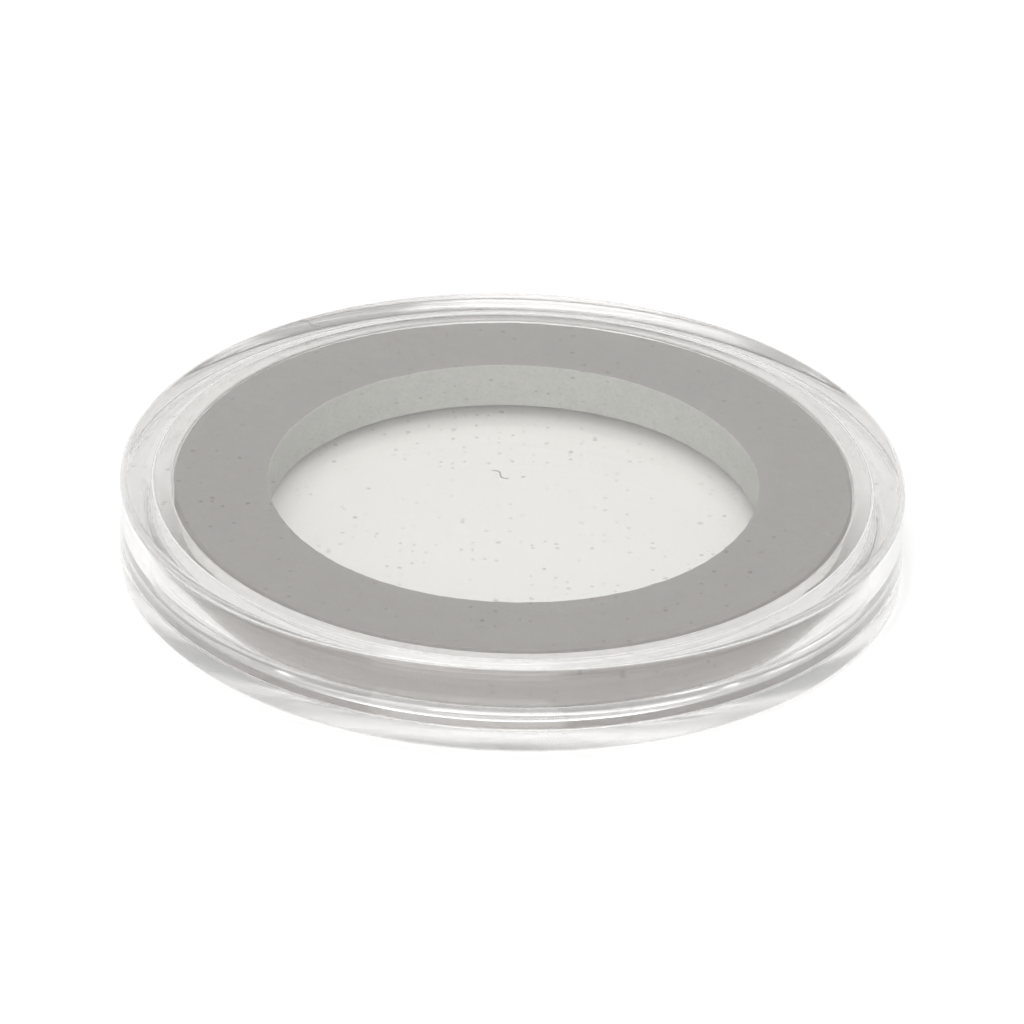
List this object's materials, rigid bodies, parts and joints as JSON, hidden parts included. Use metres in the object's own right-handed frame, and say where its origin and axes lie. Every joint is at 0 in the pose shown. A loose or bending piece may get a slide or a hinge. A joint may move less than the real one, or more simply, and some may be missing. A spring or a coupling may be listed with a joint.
{
  "type": "coin capsule",
  "caption": "Round clear two-part case with a soft foam ring that centres and holds a coin between two flat windows.",
  "frame": {"origin": "centre of the base's flat underside, on the plane that the capsule stands on", "axes": "+Z is the axis that every piece is turned about and points out of the lid; X and Y lie in the plane of the base and are equal, because the capsule is round"},
  "size_m": [0.053, 0.053, 0.0063],
  "materials": {
    "clear_base": "polished",
    "clear_lid": "polished",
    "foam": "matte"
  },
  "bodies": {
    "base": {"base": "clear_base"},
    "lid": {"lid": "clear_lid"},
    "ring": {"foam_ring": "foam"}
  },
  "joints": [
    {"name": "lid_lift", "type": "slide", "parent": "base", "child": "lid", "axis": [0, 0, 1], "range_m": [0, 0.03]},
    {"name": "ring_lift", "type": "slide", "parent": "base", "child": "ring", "axis": [0, 0, 1], "range_m": [0, 0.015]}
  ],
  "couplings": [
    {"joint": "ring_lift", "follows": "lid_lift", "ratio": 0.5}
  ]
}
